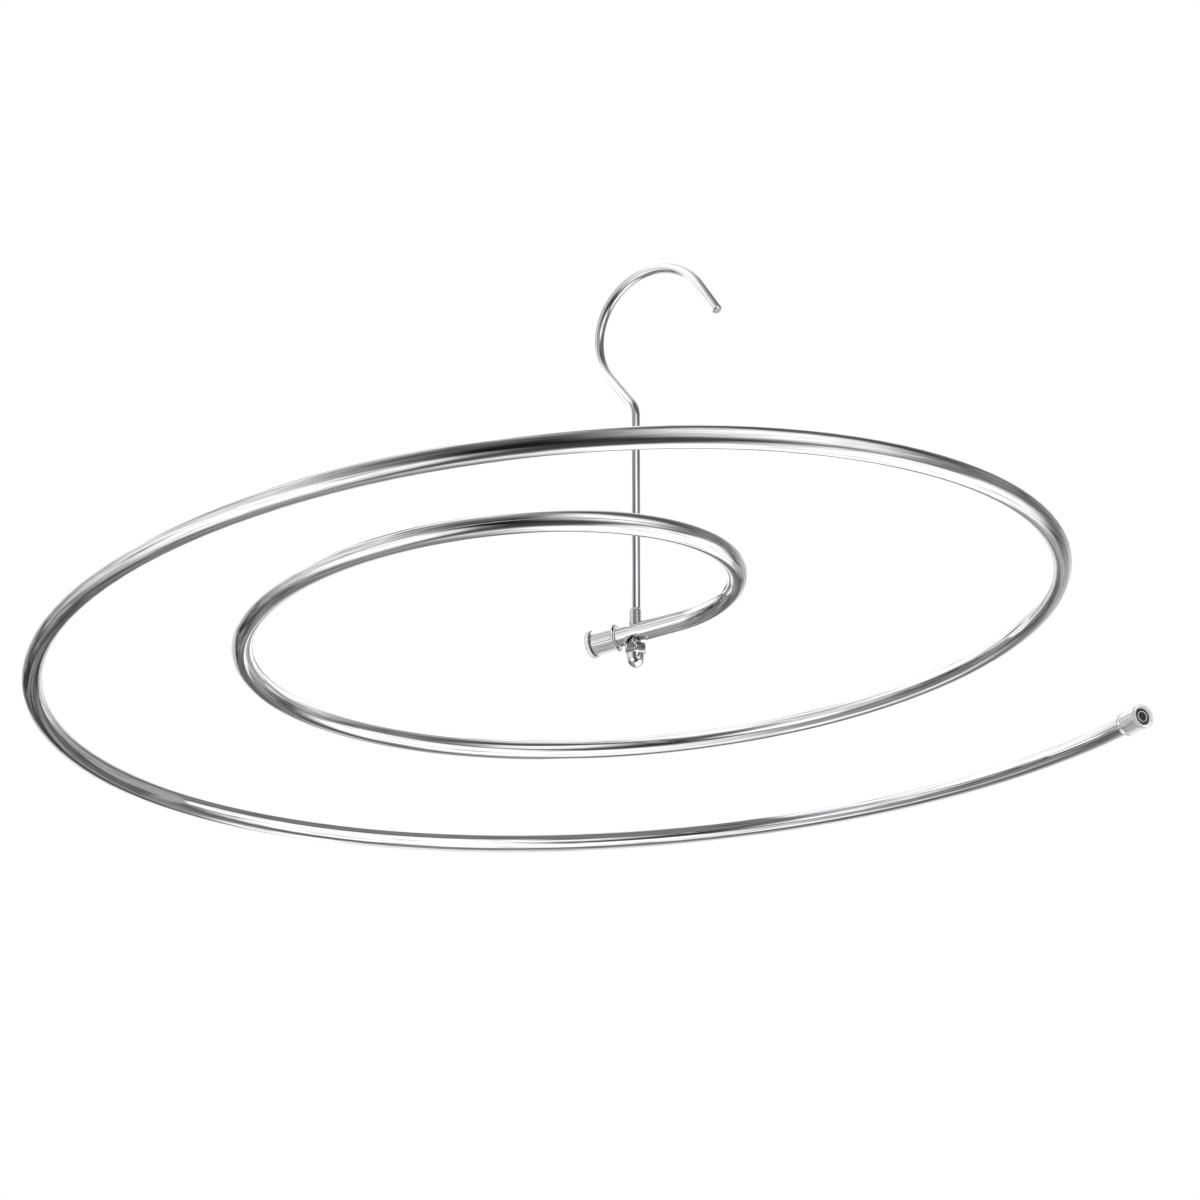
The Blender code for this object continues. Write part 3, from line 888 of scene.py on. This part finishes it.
bm = bmesh.new()
bmesh.ops.create_icosphere(bm, subdivisions=5, radius=1.0)
bmesh.ops.scale(bm, vec=TENT_RADII, verts=bm.verts)
tent = piece("photo_tent", bm, cloth, Matrix.Translation(TENT_MIDDLE))
tent.visible_camera = False
tent.visible_diffuse = False
tent.visible_shadow = False

# %% [markdown]
# A tent lights all turns of the tube much alike. For one bend's own dark edge or highlight, a
# photographer holds a small card close to the metal. Four cards hang at the back left, at about
# the height of the tube: a dark one and two grey ones that draw the left bend, and a bright one
# that lays a white band along the front. Only reflections see them. Their rims are feathered,
# because a hard rim would show in the metal as a hard step. Each card is one face with an inset:
# the inset's points cover fully, the rim's points not at all, and the shader fades between them.

# %% Cards inside the tent
CARD_FEATHER = 12.0 * MM
CARDS = (
    # name, middle seen from the crossing, tilt and turn in degrees, width, height, brightness
    ("card_over_back", (-0.075, 0.300, 0.030), 0, 0, 0.300, 0.150, 0.3),
    ("card_bright", (-0.094, 0.258, 0.0), 90, -160, 0.150, 0.100, 1.6),
    ("card_grey", (-0.135, 0.220, -0.037), 90, 0, 0.180, 0.075, 0.55),
    ("card_dark", (-0.212, 0.216, -0.087), 90, -160, 0.100, 0.075, 0.2),
)


# A card is no lit paper: it glows at its own brightness, as a lamp that only reflections see
def glowing_card(name, brightness):
    mat, tree = glowing_material(name + "_paper")
    light = add(tree, "Emission", Color=(1, 1, 1, 1), Strength=brightness)
    clear = add(tree, "BsdfTransparent")
    cover = add(tree, "Attribute", {"attribute_name": "cover"})
    faded = add(tree, "MixShader", _0=cover.outputs["Fac"], _1=clear.outputs["BSDF"],
                _2=light.outputs["Emission"])
    tree.links.new(faded.outputs["Shader"], add(tree, "OutputMaterial").inputs["Surface"])
    return mat


def card_mesh(width, height):
    bm = bmesh.new()
    cover = bm.verts.layers.float.new("cover")
    bmesh.ops.create_grid(bm, x_segments=1, y_segments=1, size=0.5)
    bmesh.ops.scale(bm, vec=(width + CARD_FEATHER, height + CARD_FEATHER, 1.0), verts=bm.verts)
    rim = bm.verts[:]
    bmesh.ops.inset_region(bm, faces=bm.faces, thickness=CARD_FEATHER, use_boundary=True,
                           use_even_offset=True)
    for v in bm.verts:
        v[cover] = 0.0 if v in rim else 1.0
    return bm


for name, middle, tilt_deg, turn_deg, width, height, brightness in CARDS:
    stand = Matrix.Rotation(radians(turn_deg), 4, "Z") @ Matrix.Rotation(radians(tilt_deg), 4, "X")
    card = piece(name, card_mesh(width, height), glowing_card(name, brightness),
                 Matrix.Translation(CROSSING + Vector(middle)) @ stand)
    card.visible_camera = False
    card.visible_diffuse = False
    card.visible_transmission = False
    card.visible_shadow = False

# %% [markdown]
# Beyond the tent the world is plain white. The camera looks through the tent and sees that white
# all round the rack. The world also lights the milky plastic from all sides.

# %% The sky
SKY_BRIGHTNESS = 1.0

world = bpy.data.worlds.new("pale_sky")
bpy.context.scene.world = world
world.use_nodes = True
tree = world.node_tree
tree.nodes.clear()
sky = add(tree, "Background", Color=(1, 1, 1, 1), Strength=SKY_BRIGHTNESS)
tree.links.new(sky.outputs["Background"], add(tree, "OutputWorld").inputs["Surface"])

# %% [markdown]
# The floor lies a metre below the hook, under the camera, so it doesn't show in the photographed
# view. It is a plain pale sheet that takes the rack's soft shadow in the other views. One large
# soft box stands in for the daylight from above. The steel doesn't show it.

# %% Floor and lamp
FLOOR_DROP = 1.05
FLOOR_SIZE = 60.0
SOFTBOX_WATTS = 14.0
SOFTBOX_SIZE = 1.2
SOFTBOX_PLACE = Vector((0.9, -0.9, 1.5))
SOFTBOX_AIM = Vector((0, 0, -0.2))

bm = bmesh.new()
bmesh.ops.create_grid(bm, x_segments=1, y_segments=1, size=FLOOR_SIZE / 2)
pale, tree = new_material("pale_paper_floor")
paper = tree.nodes["Principled BSDF"]
paper.inputs["Base Color"].default_value = linear("f4f4f3")
paper.inputs["Roughness"].default_value = 0.9
floor = piece("floor", bm, pale, Matrix.Translation((0, 0, -FLOOR_DROP)))

lamp_data = bpy.data.lights.new("softbox", "AREA")
lamp_data.energy = SOFTBOX_WATTS
lamp_data.size = SOFTBOX_SIZE
lamp = bpy.data.objects.new("softbox", lamp_data)
bpy.context.scene.collection.objects.link(lamp)
lamp.location = SOFTBOX_PLACE
lamp.rotation_euler = (SOFTBOX_AIM - SOFTBOX_PLACE).to_track_quat("-Z", "Y").to_euler()
lamp.visible_glossy = False

# The colours above are screen colours, so the view transform leaves them as they are
bpy.context.scene.view_settings.view_transform = "Standard"
print("floor", FLOOR_DROP, "m below the hook")
